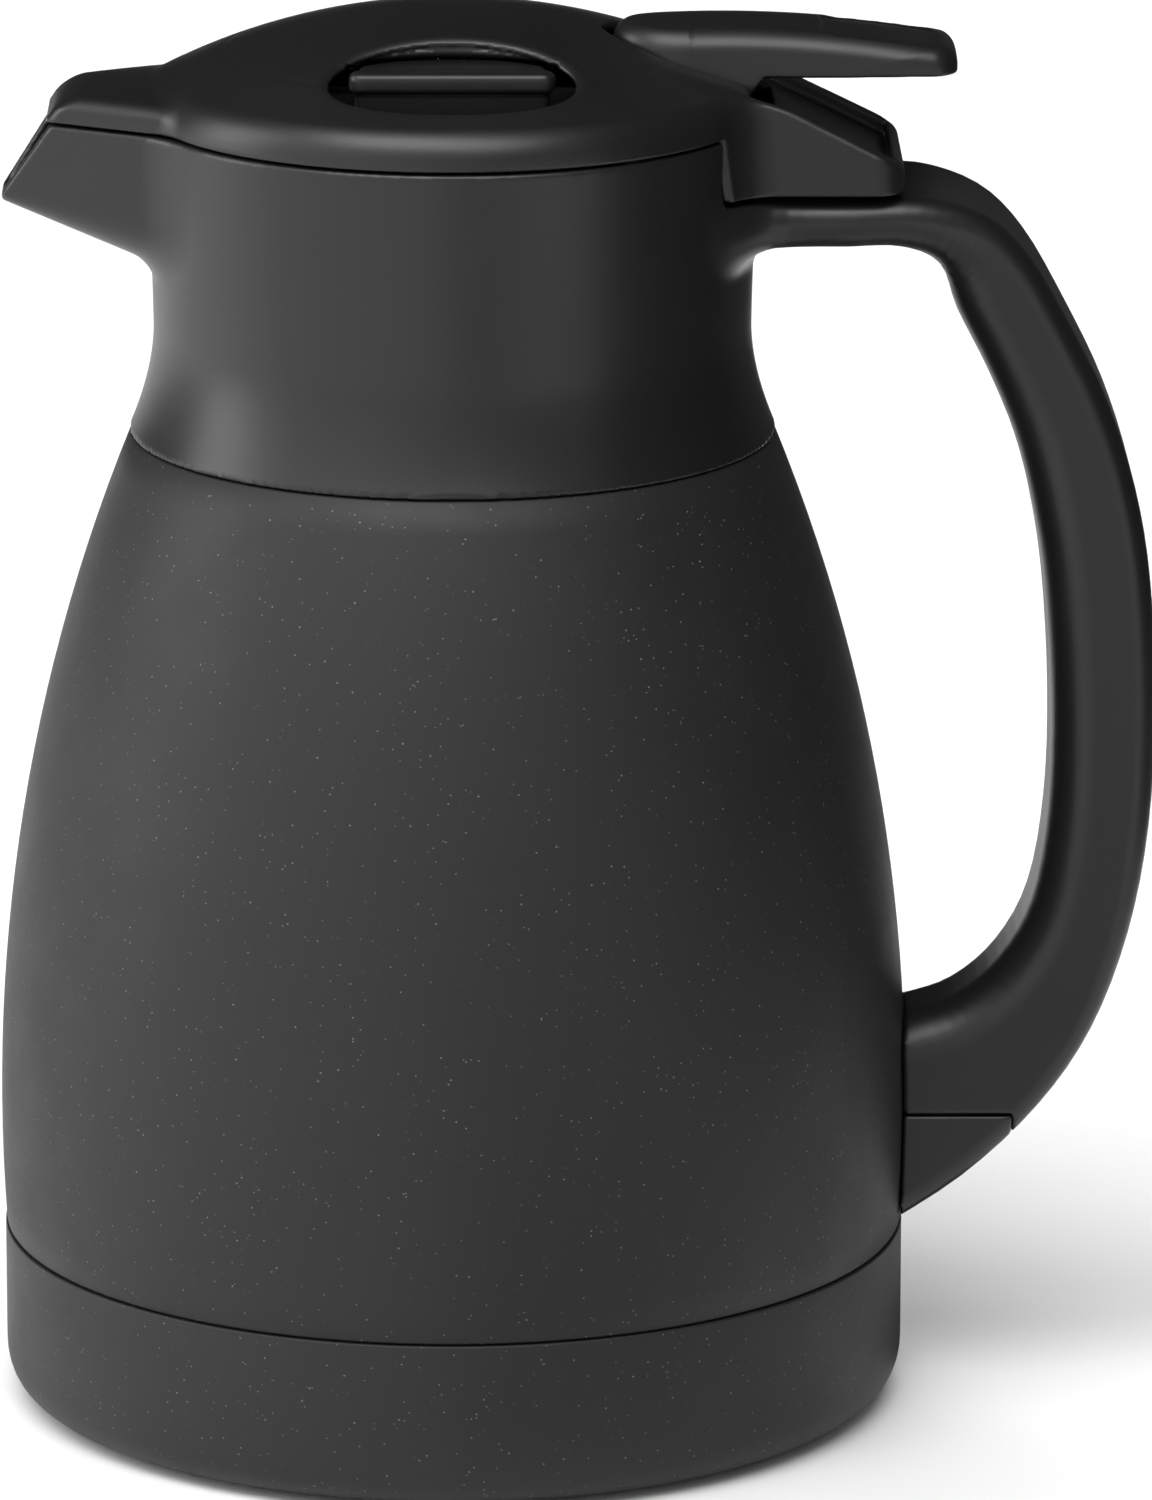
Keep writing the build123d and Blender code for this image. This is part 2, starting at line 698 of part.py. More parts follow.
# screw bosses, rests of the button springs and cheeks of the lever's pin
with BuildPart() as ribs:
    with BuildSketch(Plane.XY.offset(DECK_TOP_Z)):
        with Locations(*SCREW_POINTS):
            Circle(3.2)
    extrude(amount=25)
    with BuildSketch(Plane.XY.offset(209.8)):
        with Locations((0, -11.3), (0, 11.3)):
            Rectangle(8, 1.4)
    extrude(amount=15)
    with BuildSketch(Plane.XY.offset(PIVOT_Z - 3.0)):
        with Locations((PIVOT_X, -12.9), (PIVOT_X, 12.9)):
            Rectangle(7, 2.6)
    extrude(amount=15)
    under_dome(0.6)

with BuildPart() as lid_cover:
    add(dome_body.part)
    add(flap.part)
    add(block.part)
    # the part of the skirt that fills the notch over the arm
    with BuildSketch(Plane.XY.offset(BLOCK_BOTTOM_Z)):
        Circle(RIM_RADIUS)
        with Locations((0, 0)):
            Rectangle(80, 120, align=(Align.MAX, Align.CENTER), mode=Mode.SUBTRACT)
        with Locations((50, 0)):
            Rectangle(100, 2 * (NOTCH_HALF - SEAM), mode=Mode.INTERSECT)
    extrude(amount=LID_BOTTOM_Z - BLOCK_BOTTOM_Z)
    # hollow inside
    with BuildSketch(Plane.XZ):
        with BuildLine():
            inner_edge = DOME_EDGE - 1.6
            inner_edge_z = dome_z(inner_edge, LID_WALL)
            Line((0, LID_BOTTOM_Z - 12), (0, APEX_Z - LID_WALL))
            ThreePointArc(
                (0, APEX_Z - LID_WALL), (25.0, dome_z(25.0, LID_WALL)), (inner_edge, inner_edge_z)
            )
            Polyline(
                (inner_edge, inner_edge_z),
                (COLLAR_BORE + 1.0, inner_edge_z - 1.2),
                (COLLAR_BORE + 1.0, LID_BOTTOM_Z),
                (COLLAR_BORE, LID_BOTTOM_Z),
                (COLLAR_BORE, LID_BOTTOM_Z - 12),
                (0, LID_BOTTOM_Z - 12),
            )
        make_face()
    revolve(axis=Axis.Z, mode=Mode.SUBTRACT)
    # inside of the flap
    with BuildSketch(Plane.XY.offset(LID_BOTTOM_Z - 1)):
        with BuildLine():
            Polyline(
                (-43.0, spout_half(-43.0) - 2.6),
                (-60.0, spout_half(-60.0) - 2.6),
                (-60.0, -spout_half(-60.0) + 2.6),
                (-43.0, -spout_half(-43.0) + 2.6),
                close=True,
            )
        make_face()
    extrude(amount=3.4, mode=Mode.SUBTRACT)
    # recess between the block's rims, under the thumb end of the lever
    with BuildSketch(Plane.XZ.offset(-12.6)):
        with BuildLine():
            Polyline(
                (44.0, 240.0),
                (44.0, BLOCK_SLOPE_START[1] - 0.2),
                (BLOCK_SLOPE_START[0], BLOCK_SLOPE_START[1] - 2.9),
                (BLOCK_SLOPE_END[0] - 1.8, BLOCK_SLOPE_END[1] - 2.1),
                (BLOCK_SLOPE_END[0] - 1.8, 240.0),
                close=True,
            )
        make_face()
    extrude(amount=25.2, mode=Mode.SUBTRACT)
    # hollow of the block, open below
    with BuildSketch(Plane.XZ.offset(-(BLOCK_HALF - 2.0))):
        with BuildLine():
            Polyline(
                (42.0, BLOCK_BOTTOM_Z - 1),
                (BLOCK_END_X - 2.2, BLOCK_BOTTOM_Z - 1),
                (BLOCK_END_X - 2.6, 198.2),
                (50.0, 207.4),
                (42.0, 208.6),
                close=True,
            )
        make_face()
    extrude(amount=2 * (BLOCK_HALF - 2.0), mode=Mode.SUBTRACT)
    # slot for the lever
    with BuildSketch(Plane.XY.offset(LID_BOTTOM_Z - 2)):
        add(lever_plan(LEVER_GAP))
        Rectangle(50.0, 60, align=(Align.MIN, Align.CENTER), mode=Mode.INTERSECT)
    extrude(amount=30, mode=Mode.SUBTRACT)
    # finger pockets, and room under the dome for the sliding plates of the buttons
    with BuildSketch(Plane.XY.offset(LID_BOTTOM_Z + 1)):
        with Locations((0, -POCKET_Y), (0, POCKET_Y)):
            Ellipse(POCKET_HALF_X, POCKET_HALF_Y)
    extrude(amount=30, mode=Mode.SUBTRACT)
    with BuildSketch(Plane.XY.offset(LID_BOTTOM_Z + 1)):
        with Locations((0, -23.5), (0, 23.5)):
            Ellipse(16.4, 12.5)
    extrude(amount=BUTTON_TOP_Z + 0.5 - LID_BOTTOM_Z - 1, mode=Mode.SUBTRACT)
    add(pocket_walls.part)
    add(ribs.part)
    with Locations(*[(x, y, DECK_TOP_Z + 4.25) for x, y in SCREW_POINTS]):
        Cylinder(1.4, 8.5, mode=Mode.SUBTRACT)
    with Locations(Location((PIVOT_X, 0, PIVOT_Z), (90, 0, 0))):
        Cylinder(PIN_RADIUS, 28.0, mode=Mode.SUBTRACT)
keep(lid_cover.part, "lid_cover")

with BuildPart() as stopper_body:
    with BuildSketch(Plane.XZ):
        with BuildLine():
            Polyline(
                (SEAT_RADIUS, PLUG_BOTTOM_Z),
                (PLUG_RADIUS, PLUG_BOTTOM_Z),
                (PLUG_RADIUS, 168.0),
                (PLUG_RADIUS - 1.2, 168.0),
                (PLUG_RADIUS - 1.2, 174.0),
                (PLUG_RADIUS, 174.0),
                (PLUG_RADIUS, SHELF_Z + 0.6),
                (COLLAR_BORE - 0.7, SHELF_Z + 0.6),
                (COLLAR_BORE - 0.7, RIM_Z - 0.65),
                (COLLAR_BORE - 2.7, RIM_Z - 0.65),
                (COLLAR_BORE - 2.7, DECK_TOP_Z),
                (STEM_RADIUS + 0.3, DECK_TOP_Z),
                (STEM_RADIUS + 0.3, 188.0),
                (STEM_RADIUS + 2.4, 188.0),
                (STEM_RADIUS + 2.4, DECK_TOP_Z - 2.0),
                (COLLAR_BORE - 2.7, DECK_TOP_Z - 2.0),
                (COLLAR_BORE - 2.7, SHELF_Z + 2.8),
                (PLUG_RADIUS - 2.2, SHELF_Z + 2.8),
                (PLUG_RADIUS - 2.2, PLUG_BOTTOM_Z + 2.5),
                (SEAT_RADIUS, PLUG_BOTTOM_Z + 2.5),
                close=True,
            )
        make_face()
    revolve(axis=Axis.Z)
    # pouring port towards the spout
    with BuildSketch(Plane.XY.offset(190.6)):
        with Locations((-COLLAR_BORE, 0)):
            Rectangle(14, 22)
    extrude(amount=8.6, mode=Mode.SUBTRACT)
    # slots that the latch pawls slide in
    with BuildSketch(Plane.XY.offset(DECK_TOP_Z)):
        with Locations((0, -COLLAR_BORE), (0, COLLAR_BORE)):
            Rectangle(17, 12)
    extrude(amount=10, mode=Mode.SUBTRACT)
    # room for the lever's lower corner when it tilts
    with BuildSketch(Plane.XY.offset(DECK_TOP_Z + 0.8)):
        with Locations((COLLAR_BORE, 0)):
            Rectangle(10, 26)
    extrude(amount=10, mode=Mode.SUBTRACT)
    with Locations(*[(x, y, DECK_TOP_Z - 1) for x, y in SCREW_POINTS]):
        Cylinder(1.5, 3, mode=Mode.SUBTRACT)
keep(stopper_body.part, "stopper_body")

with BuildPart() as stopper_gasket:
    with BuildSketch(Plane.XZ):
        with BuildLine():
            Polyline(
                (PLUG_RADIUS - 1.2, 168.0),
                (PLUG_RADIUS, 168.0),
                (PLUG_RADIUS + 0.65, 169.0),
                (PLUG_RADIUS + 0.3, 170.0),
                (PLUG_RADIUS + 0.65, 171.0),
                (PLUG_RADIUS + 0.3, 172.0),
                (PLUG_RADIUS + 0.65, 173.0),
                (PLUG_RADIUS, 174.0),
                (PLUG_RADIUS - 1.2, 174.0),
                close=True,
            )
        make_face()
    revolve(axis=Axis.Z)
keep(stopper_gasket.part, "stopper_gasket")

with BuildPart() as lid_insulation:
    with BuildSketch(Plane.XY.offset(DECK_TOP_Z)):
        Circle(COLLAR_BORE - 3.0)
        Circle(11.0, mode=Mode.SUBTRACT)
        with Locations(*SCREW_POINTS):
            Circle(3.6, mode=Mode.SUBTRACT)
    extrude(amount=2.0)
keep(lid_insulation.part, "lid_insulation")

with BuildPart() as lid_screws:
    with BuildSketch(Plane.XY.offset(DECK_TOP_Z - 3.8)):
        with Locations(*SCREW_POINTS):
            Circle(2.8)
    extrude(amount=1.8)
    fillet(lid_screws.edges().group_by(Axis.Z)[0], 0.6)
    with BuildSketch(Plane.XY.offset(DECK_TOP_Z - 2.0)):
        with Locations(*SCREW_POINTS):
            Circle(1.4)
    extrude(amount=10.0)
    with BuildSketch(Plane.XY.offset(DECK_TOP_Z - 3.8)):
        with Locations(*SCREW_POINTS):
            Rectangle(3.0, 0.7)
            Rectangle(0.7, 3.0)
    extrude(amount=1.0, mode=Mode.SUBTRACT)
keep(lid_screws.part, "lid_screws")

with BuildPart() as lever_pin:
    with Locations(Location((PIVOT_X, 0, PIVOT_Z), (90, 0, 0))):
        Cylinder(PIN_RADIUS, 28.0)
    chamfer(lever_pin.edges(), 0.25)
keep(lever_pin.part, "lever_pin")

# ---------------------------------------------------------------- pouring lever
with BuildPart() as lever:
    with BuildSketch(Plane.XZ.offset(-20)):
        with BuildLine():
            Line((43.0, 206.9), (LEVER_NOSE_X, 206.9))
            Line((LEVER_NOSE_X, 206.9), (LEVER_NOSE_X, 219.4))
            Spline(
                (LEVER_NOSE_X, 219.4),
                (28.0, 221.7),
                (40.0, 222.6),
                (57.0, 222.0),
                (71.0, 220.3),
                (LEVER_TIP_X - 1.0, 218.2),
                tangents=((0.5, 1.0), (0.8, -0.7)),
            )
            Line((LEVER_TIP_X - 1.0, 218.2), (LEVER_TIP_X, 214.4))
            Line((LEVER_TIP_X, 214.4), (48.4, 214.5))
            Line((48.4, 214.5), (43.0, 206.9))
        make_face()
    extrude(amount=40)
    with BuildSketch(Plane.XY.offset(200)):
        add(lever_plan(0))
    extrude(amount=30, mode=Mode.INTERSECT)
    # the flanks lean in towards the top
    with BuildSketch(Plane.YZ):
        with BuildLine():
            Polyline(
                (LEVER_HALF, 200.0),
                (LEVER_HALF, 213.5),
                (8.6, 224.5),
                (-8.6, 224.5),
                (-LEVER_HALF, 213.5),
                (-LEVER_HALF, 200.0),
                close=True,
            )
        make_face()
    extrude(amount=90, mode=Mode.INTERSECT)
    # hollow under the thumb end
    with BuildSketch(Plane.XZ.offset(-7.6)):
        with BuildLine():
            Polyline(
                (50.0, 210.0),
                (50.0, 219.6),
                (57.0, 219.3),
                (73.0, 217.2),
                (75.8, 215.0),
                (75.8, 210.0),
                close=True,
            )
        make_face()
    extrude(amount=15.2, mode=Mode.SUBTRACT)
    # forked tongue that lifts the valve stem by its head
    with BuildSketch(Plane.XY.offset(206.3)):
        with Locations((5.0, 0)):
            Rectangle(26, 14, align=(Align.MIN, Align.CENTER))
        with Locations((5.0, 0)):
            Rectangle(16, 8.8, align=(Align.CENTER, Align.CENTER), mode=Mode.SUBTRACT)
    extrude(amount=3.0)
    with Locations(Location((PIVOT_X, 0, PIVOT_Z), (90, 0, 0))):
        Cylinder(PIN_RADIUS + PIN_CLEARANCE, 40.0, mode=Mode.SUBTRACT)
keep(lever.part, "lever")

# ---------------------------------------------------------------- release buttons
with BuildPart() as button_front:
    # plate that slides under the dome, and the bar along its outer edge
    with BuildSketch(Plane.XY.offset(BUTTON_TOP_Z - 2.2)):
        with BuildLine():
            Polyline(
                (-14.6, -22.0), (-BUTTON_HALF_X, -24.2), (BUTTON_HALF_X, -24.2), (14.6, -22.0)
            )
            ThreePointArc((14.6, -22.0), (0, -15.4), (-14.6, -22.0))
        make_face()
    extrude(amount=2.2)
    with BuildSketch(Plane.XY.offset(BUTTON_TOP_Z - BUTTON_BAR)) as bar:
        with Locations((0, -BUTTON_FACE_Y)):
            Rectangle(2 * BUTTON_HALF_X, 4.3, align=(Align.CENTER, Align.MIN))
        fillet(bar.vertices().group_by(Axis.Y)[0], 2.8)
    extrude(amount=BUTTON_BAR)
    with BuildSketch(Plane.XY.offset(209.0)):
        with Locations((0, -BUTTON_FACE_Y + 0.8)):
            Rectangle(30.0, 2.2, align=(Align.CENTER, Align.MIN))
    extrude(amount=BUTTON_TOP_Z - BUTTON_BAR - 209.0)
    with BuildSketch(Plane.XY.offset(PAWL_Z)):
        with Locations((0, -26.4)):
            Rectangle(13, 2.0)
    extrude(amount=209.0 - PAWL_Z)
    with BuildSketch(Plane.XY.offset(PAWL_Z)):
        with Locations((0, -25.4)):
            Rectangle(13, 18.0, align=(Align.CENTER, Align.MAX))
    extrude(amount=1.5)
keep(button_front.part, "button_front")

with BuildPart() as button_back:
    add(mirror(button_front.part, about=Plane.XZ))
keep(button_back.part, "button_back")

# ---------------------------------------------------------------- valve
with BuildPart() as valve_stem:
    with BuildSketch(Plane.XZ):
        with BuildLine():
            Polyline(
                (0, 162.4),
                (2.0, 162.4),
                (2.0, 166.2),
                (6.5, 166.2),
                (6.5, 168.2),
                (STEM_RADIUS, 168.2),
                (STEM_RADIUS, 209.7),
                (2.0, 209.7),
                (2.0, 211.7),
                (0, 211.7),
                close=True,
            )
        make_face()
    revolve(axis=Axis.Z)
keep(valve_stem.part, "valve_stem")

with BuildPart() as stem_head:
    with BuildSketch(Plane.XY.offset(209.7)):
        Circle(9.5)
        Circle(2.03, mode=Mode.SUBTRACT)
    extrude(amount=2.0)
    fillet(stem_head.edges().group_by(Axis.Z)[-1].sort_by(SortBy.LENGTH)[-1], 0.8)
keep(stem_head.part, "stem_head")

with BuildPart() as valve_disc:
    with BuildSketch(Plane.XY.offset(164.2)):
        Circle(VALVE_RADIUS)
        Circle(2.03, mode=Mode.SUBTRACT)
    extrude(amount=2.0)
    fillet(valve_disc.edges().group_by(Axis.Z)[-1].sort_by(SortBy.LENGTH)[-1], 0.8)
keep(valve_disc.part, "valve_disc")

with BuildPart() as valve_gasket:
    with BuildSketch(Plane.XY.offset(162.6)):
        Circle(VALVE_RADIUS + 0.5)
        Circle(13.0, mode=Mode.SUBTRACT)
    extrude(amount=1.6)
keep(valve_gasket.part, "valve_gasket")

with BuildPart() as valve_nut:
    with BuildSketch(Plane.XY.offset(162.2)):
        RegularPolygon(5.0, 6)
        Circle(2.03, mode=Mode.SUBTRACT)
    extrude(amount=2.0)
keep(valve_nut.part, "valve_nut")


def coil_spring(base, direction, length, radius, wire, pitch):
    """Helical compression spring standing on base."""
    with BuildPart() as spring:
        with BuildLine() as path:
            Helix(pitch, length - 2 * wire, radius, center=base + direction * wire, direction=direction)
        with BuildSketch(Plane(origin=path.line @ 0, z_dir=path.line % 0)):
            Circle(wire)
        sweep(path=path.line)
    return spring.part


valve_spring = coil_spring(Vector(0, 0, 168.2), Vector(0, 0, 1), 19.8, 4.6, 0.45, 2.7)
keep(valve_spring, "valve_spring")
button_spring_front = coil_spring(Vector(0, -25.4, 213.4), Vector(0, 1, 0), 13.4, 2.1, 0.25, 1.9)
keep(button_spring_front, "button_spring_front")
button_spring_back = coil_spring(Vector(0, 25.4, 213.4), Vector(0, -1, 0), 13.4, 2.1, 0.25, 1.9)
keep(button_spring_back, "button_spring_back")
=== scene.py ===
"""Thermal coffee carafe: its looks, built around the CAD frame.

Shapes are written in millimetres and scaled by MM; lights and camera are in metres.
"""

import json
import math

import bpy
import numpy as np
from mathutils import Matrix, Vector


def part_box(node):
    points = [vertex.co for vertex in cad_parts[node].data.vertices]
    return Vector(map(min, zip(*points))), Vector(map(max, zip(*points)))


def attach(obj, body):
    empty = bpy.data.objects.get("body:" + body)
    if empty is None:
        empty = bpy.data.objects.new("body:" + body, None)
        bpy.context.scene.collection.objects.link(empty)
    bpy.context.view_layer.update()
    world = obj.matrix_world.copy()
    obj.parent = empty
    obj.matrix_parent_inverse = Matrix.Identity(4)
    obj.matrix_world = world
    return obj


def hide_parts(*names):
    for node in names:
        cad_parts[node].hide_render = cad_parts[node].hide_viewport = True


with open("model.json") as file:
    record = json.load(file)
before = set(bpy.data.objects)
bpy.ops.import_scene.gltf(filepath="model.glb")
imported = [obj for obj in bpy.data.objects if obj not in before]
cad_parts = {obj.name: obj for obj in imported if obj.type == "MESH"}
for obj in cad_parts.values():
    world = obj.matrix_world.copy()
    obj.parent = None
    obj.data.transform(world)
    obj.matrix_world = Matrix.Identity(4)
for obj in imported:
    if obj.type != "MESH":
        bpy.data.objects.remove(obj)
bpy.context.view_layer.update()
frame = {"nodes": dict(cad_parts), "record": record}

import openvdb
from mathutils import Euler, Vector

MM = 0.001
WHITE = (1.0, 1.0, 1.0)


# ------------------------------------------------------------------ materials
class Shader:
    """A material with its node tree and a few short ways to fill it."""

    def __init__(self, name):
        self.material = bpy.data.materials.new(name)
        self.material.use_nodes = True
        self.tree = self.material.node_tree
        self.surface = self.tree.nodes["Principled BSDF"]
        self.place = self.node("ShaderNodeTexCoord").outputs["Object"]

    def node(self, kind, **settings):
        made = self.tree.nodes.new(kind)
        for key, value in settings.items():
            setattr(made, key, value)
        return made

    def link(self, source, target):
        self.tree.links.new(source, target)

    def set(self, **values):
        for key, value in values.items():
            self.surface.inputs[key.replace("_", " ")].default_value = value

    def noise(self, scale, detail=3.0, roughness=0.5):
        made = self.node("ShaderNodeTexNoise")
        made.inputs["Scale"].default_value = scale
        made.inputs["Detail"].default_value = detail
        made.inputs["Roughness"].default_value = roughness
        self.link(self.place, made.inputs["Vector"])
        return made.outputs["Fac"]

    def specks(self, scale):
        """Random grey per small cell and the distance to the cell's centre."""
        made = self.node("ShaderNodeTexVoronoi")
        made.inputs["Scale"].default_value = scale
        self.link(self.place, made.inputs["Vector"])
        return made.outputs["Color"], made.outputs["Distance"]

    def remap(self, value, low, high, to_low, to_high):
        made = self.node("ShaderNodeMapRange")
        made.inputs["From Min"].default_value = low
        made.inputs["From Max"].default_value = high
        made.inputs["To Min"].default_value = to_low
        made.inputs["To Max"].default_value = to_high
        self.link(value, made.inputs["Value"])
        return made.outputs["Result"]

    def maths(self, operation, first, second):
        made = self.node("ShaderNodeMath", operation=operation)
        for socket, value in zip(made.inputs, (first, second)):
            if isinstance(value, (int, float)):
                socket.default_value = value
            else:
                self.link(value, socket)
        return made.outputs["Value"]

    def mix(self, share, first, second):
        """Colour between first and second by share."""
        made = self.node("ShaderNodeMix", data_type="RGBA")
        self.link(share, made.inputs["Factor"])
        for socket, value in zip((made.inputs["A"], made.inputs["B"]), (first, second)):
            if isinstance(value, tuple):
                socket.default_value = (*value, 1)
            else:
                self.link(value, socket)
        return made.outputs["Result"]

    def bump(self, height, strength, distance):
        made = self.node("ShaderNodeBump")
        made.inputs["Strength"].default_value = strength
        made.inputs["Distance"].default_value = distance
        self.link(height, made.inputs["Height"])
        self.link(made.outputs["Normal"], self.surface.inputs["Normal"])


def painted_steel():
    """Matte charcoal paint: fine orange peel and sparse bright metallic flecks."""
    paint = Shader("charcoal_paint")
    base = paint.mix(paint.noise(14.0), (0.0100, 0.0098, 0.0100), (0.0118, 0.0116, 0.0118))
    colour, distance = paint.specks(2600.0)
    split = paint.node("ShaderNodeSeparateColor")
    paint.link(colour, split.inputs["Color"])
    chosen = paint.maths("GREATER_THAN", split.outputs["Red"], 0.972)
    near = paint.maths("LESS_THAN", distance, 0.36)
    fleck = paint.maths("MULTIPLY", chosen, near)
    strength = paint.maths("MULTIPLY", fleck, split.outputs["Green"])
    colour_socket, roughness_socket = (
        paint.surface.inputs[name] for name in ("Base Color", "Roughness")
    )
    paint.link(paint.mix(strength, base, (0.17, 0.14, 0.12)), colour_socket)
    paint.link(paint.remap(paint.noise(60.0), 0.3, 0.7, 0.50, 0.58), roughness_socket)
    paint.set(Specular_IOR_Level=0.36)
    paint.bump(paint.noise(2600.0, 2.0), 0.10, 0.04 * MM)
    return paint.material


def moulded_plastic(name, dark, light, rough_low, rough_high, grain):
    """Black moulded plastic: spark-eroded grain, slight cloudiness in gloss and colour."""
    plastic = Shader(name)
    plastic.link(
        plastic.mix(plastic.noise(22.0), dark, light), plastic.surface.inputs["Base Color"]
    )
    plastic.link(
        plastic.remap(plastic.noise(45.0), 0.3, 0.7, rough_low, rough_high),
        plastic.surface.inputs["Roughness"],
    )
    plastic.set(Specular_IOR_Level=0.45)
    plastic.bump(plastic.noise(3200.0, 2.0), grain, 0.04 * MM)
    return plastic.material


def metal(name, colour, rough_low, rough_high, grain_scale):
    """Bare metal with fine drawn lines."""
    steel = Shader(name)
    stretch = steel.node("ShaderNodeMapping")
    stretch.inputs["Scale"].default_value = (1.0, 1.0, 0.04)
    steel.link(steel.place, stretch.inputs["Vector"])
    lines = steel.node("ShaderNodeTexNoise")
    lines.inputs["Scale"].default_value = grain_scale
    steel.link(stretch.outputs["Vector"], lines.inputs["Vector"])
    steel.link(
        steel.remap(lines.outputs["Fac"], 0.3, 0.7, rough_low, rough_high),
        steel.surface.inputs["Roughness"],
    )
    darker = tuple(0.88 * c for c in colour)
    steel.link(steel.mix(lines.outputs["Fac"], darker, colour), steel.surface.inputs["Base Color"])
    steel.set(Metallic=1.0)
    return steel.material


def soft_polymer(name, colour, roughness, scale, grain):
    """Rubber, silicone or foam with a fine uneven surface."""
    polymer = Shader(name)
    polymer.link(
        polymer.mix(polymer.noise(scale / 6), tuple(0.85 * c for c in colour), colour),
        polymer.surface.inputs["Base Color"],
    )
    polymer.link(
        polymer.remap(polymer.noise(scale / 2), 0.3, 0.7, roughness - 0.06, roughness + 0.06),
        polymer.surface.inputs["Roughness"],
    )
    polymer.bump(polymer.noise(scale), grain, 0.1 * MM)
    return polymer.material


FINISHES = {
    "body_paint": painted_steel(),
    "satin_plastic": moulded_plastic(
        "satin_black_plastic", (0.0060, 0.0060, 0.0063), (0.0072, 0.0072, 0.0075), 0.34, 0.40, 0.10
    ),
    "inner_plastic": moulded_plastic(
        "smooth_black_plastic", (0.010, 0.010, 0.011), (0.013, 0.013, 0.014), 0.30, 0.36, 0.05
    ),
    "vessel_steel": metal("satin_steel", (0.62, 0.61, 0.59), 0.24, 0.36, 900.0),
    "reflective_foil": metal("bright_foil", (0.86, 0.86, 0.85), 0.10, 0.20, 300.0),
    "fastener_steel": metal("plated_steel", (0.60, 0.60, 0.60), 0.16, 0.26, 1500.0),
    "spring_steel": metal("drawn_wire", (0.58, 0.58, 0.58), 0.20, 0.30, 1500.0),
    "foot_rubber": soft_polymer("foot_rubber", (0.016, 0.016, 0.016), 0.75, 1800.0, 0.3),
    "silicone_seal": soft_polymer("grey_silicone", (0.26, 0.26, 0.25), 0.42, 900.0, 0.1),
    "foam_ring": soft_polymer("dark_foam", (0.035, 0.035, 0.035), 0.9, 2400.0, 0.6),
}

SLOT_OF = {s["node"]: s["material_slot"] for s in frame["record"]["subparts"]}
BODY_OF = {
    node: body
    for body, nodes in frame["record"]["behaviour"]["bodies"].items()
    for node in nodes
}
for node, shown in frame["nodes"].items():
    shown.data.materials.clear()
    shown.data.materials.append(FINISHES[SLOT_OF[node]])


# ------------------------------------------------------------------ meshes
def stand_for(node, vertices, faces):
    """A smooth mesh, in millimetres, that is shown in place of a CAD node."""
    mesh = bpy.data.meshes.new(node + "_skin")
    mesh.vertices.add(len(vertices))
    mesh.vertices.foreach_set("co", (np.asarray(vertices, np.float32) * MM).ravel())
    corners = faces.shape[1]
    mesh.loops.add(faces.size)
    mesh.loops.foreach_set("vertex_index", faces.astype(np.int32).ravel())
    mesh.polygons.add(len(faces))
    mesh.polygons.foreach_set("loop_start", np.arange(0, faces.size, corners, dtype=np.int32))
    mesh.polygons.foreach_set("use_smooth", np.ones(len(faces), bool))
    mesh.update(calc_edges=True)
    mesh.materials.append(FINISHES[SLOT_OF[node]])
    piece = bpy.data.objects.new(node + "_skin", mesh)
    bpy.context.collection.objects.link(piece)
    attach(piece, BODY_OF[node])
    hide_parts(node)
    return piece


def rounded_outline(profile):
    """Closed outline with each corner (radius, height, rounding) turned into a small arc."""
    points = []
    count = len(profile)
    for k, (r, z, rounding) in enumerate(profile):
        here = np.array((r, z), float)
        before = np.array(profile[k - 1][:2], float) - here
        after = np.array(profile[(k + 1) % count][:2], float) - here
        reach = min(rounding, 0.45 * np.hypot(*before), 0.45 * np.hypot(*after))
        if reach <= 0:
            points.append(here)
            continue
        start = here + before / np.hypot(*before) * reach
        end = here + after / np.hypot(*after) * reach
        steps = 4 if rounding < 3 else 10
        for t in np.linspace(0, 1, steps + 1):
            points.append((1 - t) ** 2 * start + 2 * t * (1 - t) * here + t * t * end)
    return points


def turned(node, profile, segments=192):
    """Solid of revolution from a closed outline of (radius, height, rounding)."""
    outline = rounded_outline(profile)
    angles = np.linspace(0, 2 * math.pi, segments, endpoint=False)
    rings = [
        np.column_stack((r * np.cos(angles), r * np.sin(angles), np.full(segments, z)))
        for r, z in outline
    ]
    faces = []
    turn = np.arange(segments)
    ahead = (turn + 1) % segments
    for k in range(len(outline)):
        low = k * segments
        high = (k + 1) % len(outline) * segments
        if outline[k][0] < 1e-6 and outline[(k + 1) % len(outline)][0] < 1e-6:
            continue
        faces.append(np.column_stack((low + turn, low + ahead, high + ahead, high + turn)))
    return stand_for(node, np.vstack(rings), np.vstack(faces))


def round_max(a, b, radius):
    """What lies inside both a and b, with the edge between them rounded."""
    corner = np.hypot(np.maximum(a + radius, 0), np.maximum(b + radius, 0))
    return np.minimum(np.maximum(a, b), -radius) + corner


def round_min(a, b, radius):
    """What lies inside a or b, with a fillet between them."""
    return -round_max(-a, -b, radius)


def cut(a, b, radius=0.3):
    """What is left of a when b is taken away, with the new edge rounded."""
    return round_max(a, -b, radius)


def slab(value, low, high):
    return np.maximum(low - value, value - high)


def ellipse(x, y, half_x, half_y):
    """Nearly the distance to an ellipse."""
    level = (x / half_x) ** 2 + (y / half_y) ** 2 - 1
    slope = 2 * np.hypot(x / half_x**2, y / half_y**2) + 1e-3
    return level / slope


